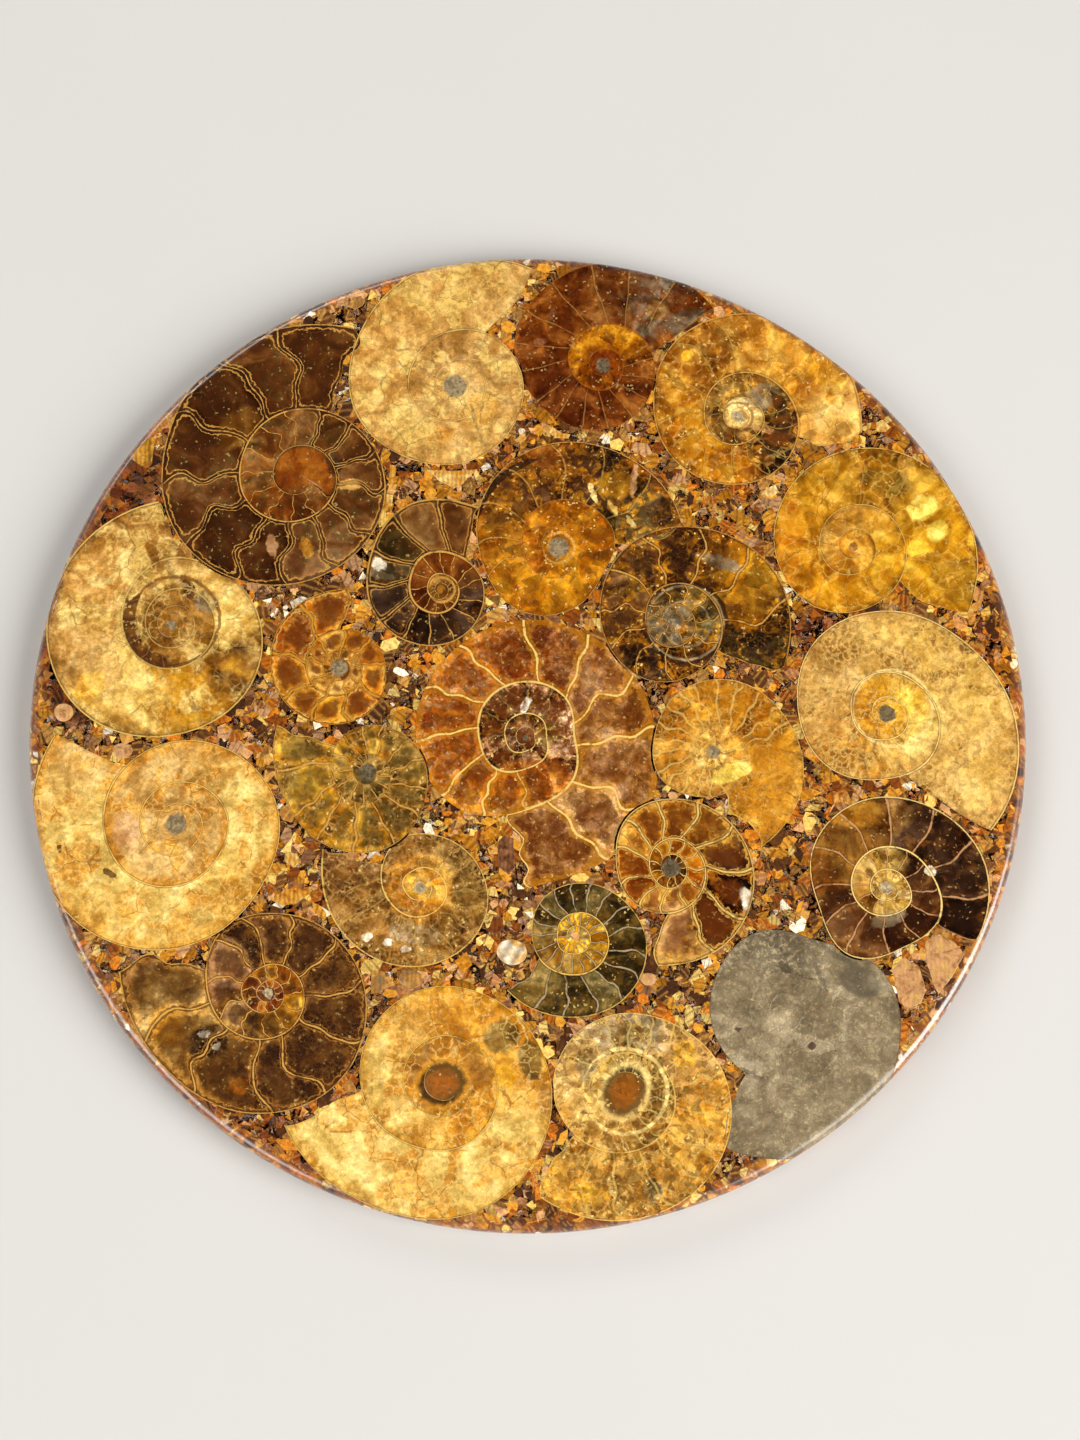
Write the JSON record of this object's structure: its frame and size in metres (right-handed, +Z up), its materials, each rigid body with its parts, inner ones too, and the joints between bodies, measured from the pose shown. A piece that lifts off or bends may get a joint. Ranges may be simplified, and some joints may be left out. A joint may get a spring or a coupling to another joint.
{
  "type": "ammonite fossil plate",
  "caption": "Round polished slab of amber resin with sliced ammonite fossils and stone chips set flush in its top face.",
  "frame": {"origin": "middle of the flat underside", "axes": "+Z up through the plate's thickness; +Y towards the red-brown ammonite at the rim; +X to the right as seen from above"},
  "size_m": [0.2, 0.2, 0.008],
  "materials": {
    "resin_amber": "clear amber, polished",
    "dark_brown": "polished calcite",
    "amber_brown": "polished calcite",
    "red_brown": "polished calcite",
    "golden_brown": "polished calcite",
    "golden_cream": "polished calcite",
    "cream": "polished calcite",
    "yellow": "polished calcite",
    "olive": "polished calcite",
    "orange": "polished calcite",
    "grey_green": "polished calcite",
    "pyrite_grey": "fine-grained, honed",
    "tan": "honed stone",
    "pink_tan": "honed stone",
    "plum": "honed stone"
  },
  "bodies": {
    "root": {"resin_plate": "resin_amber", "ammonite_dark_chambered_right": "dark_brown", "ammonite_small_chambered": "amber_brown", "ammonite_grey_green": "grey_green", "ammonite_sutured_brown": "dark_brown", "ammonite_cream_top": "cream", "ammonite_red_brown_top": "red_brown", "ammonite_dark_ringed": "dark_brown", "ammonite_golden_upper_centre": "golden_brown", "ammonite_mottled_centre_right": "golden_cream", "ammonite_cream_right": "cream", "ammonite_yellow_right": "yellow", "ammonite_amber_upper_right": "golden_brown", "ammonite_large_cream_left": "cream", "ammonite_brown_lower_left": "amber_brown", "ammonite_olive_left": "olive", "ammonite_cream_bottom": "cream", "ammonite_grey_pyrite": "pyrite_grey", "ammonite_open_centre": "golden_cream", "ammonite_double_ringed_left": "cream", "ammonite_golden_centre_left": "golden_brown", "ammonite_orange_left": "orange", "ammonite_brown_upper_centre": "amber_brown", "ammonite_red_centre": "orange", "chip_cream_wedge": "cream", "chip_cream_shard": "cream", "chip_orange_bar": "orange", "chip_small_cream": "cream", "chip_red_brown": "red_brown", "chip_purple_block": "plum", "chip_tan_chunk": "tan", "chip_cream_right_rim": "cream", "chip_white": "cream", "chip_pale_top_rim": "tan", "chip_pink_cell": "pink_tan", "chip_tan_cell": "pink_tan", "chip_yellow_green": "olive", "chip_orange_wedge": "orange", "chip_cream_crescent": "cream", "pebble_pink": "pink_tan", "pebble_pale_left": "pink_tan", "pebble_round_grey": "tan", "pebble_striped": "cream", "pebble_rose": "pink_tan"}
  },
  "joints": []
}
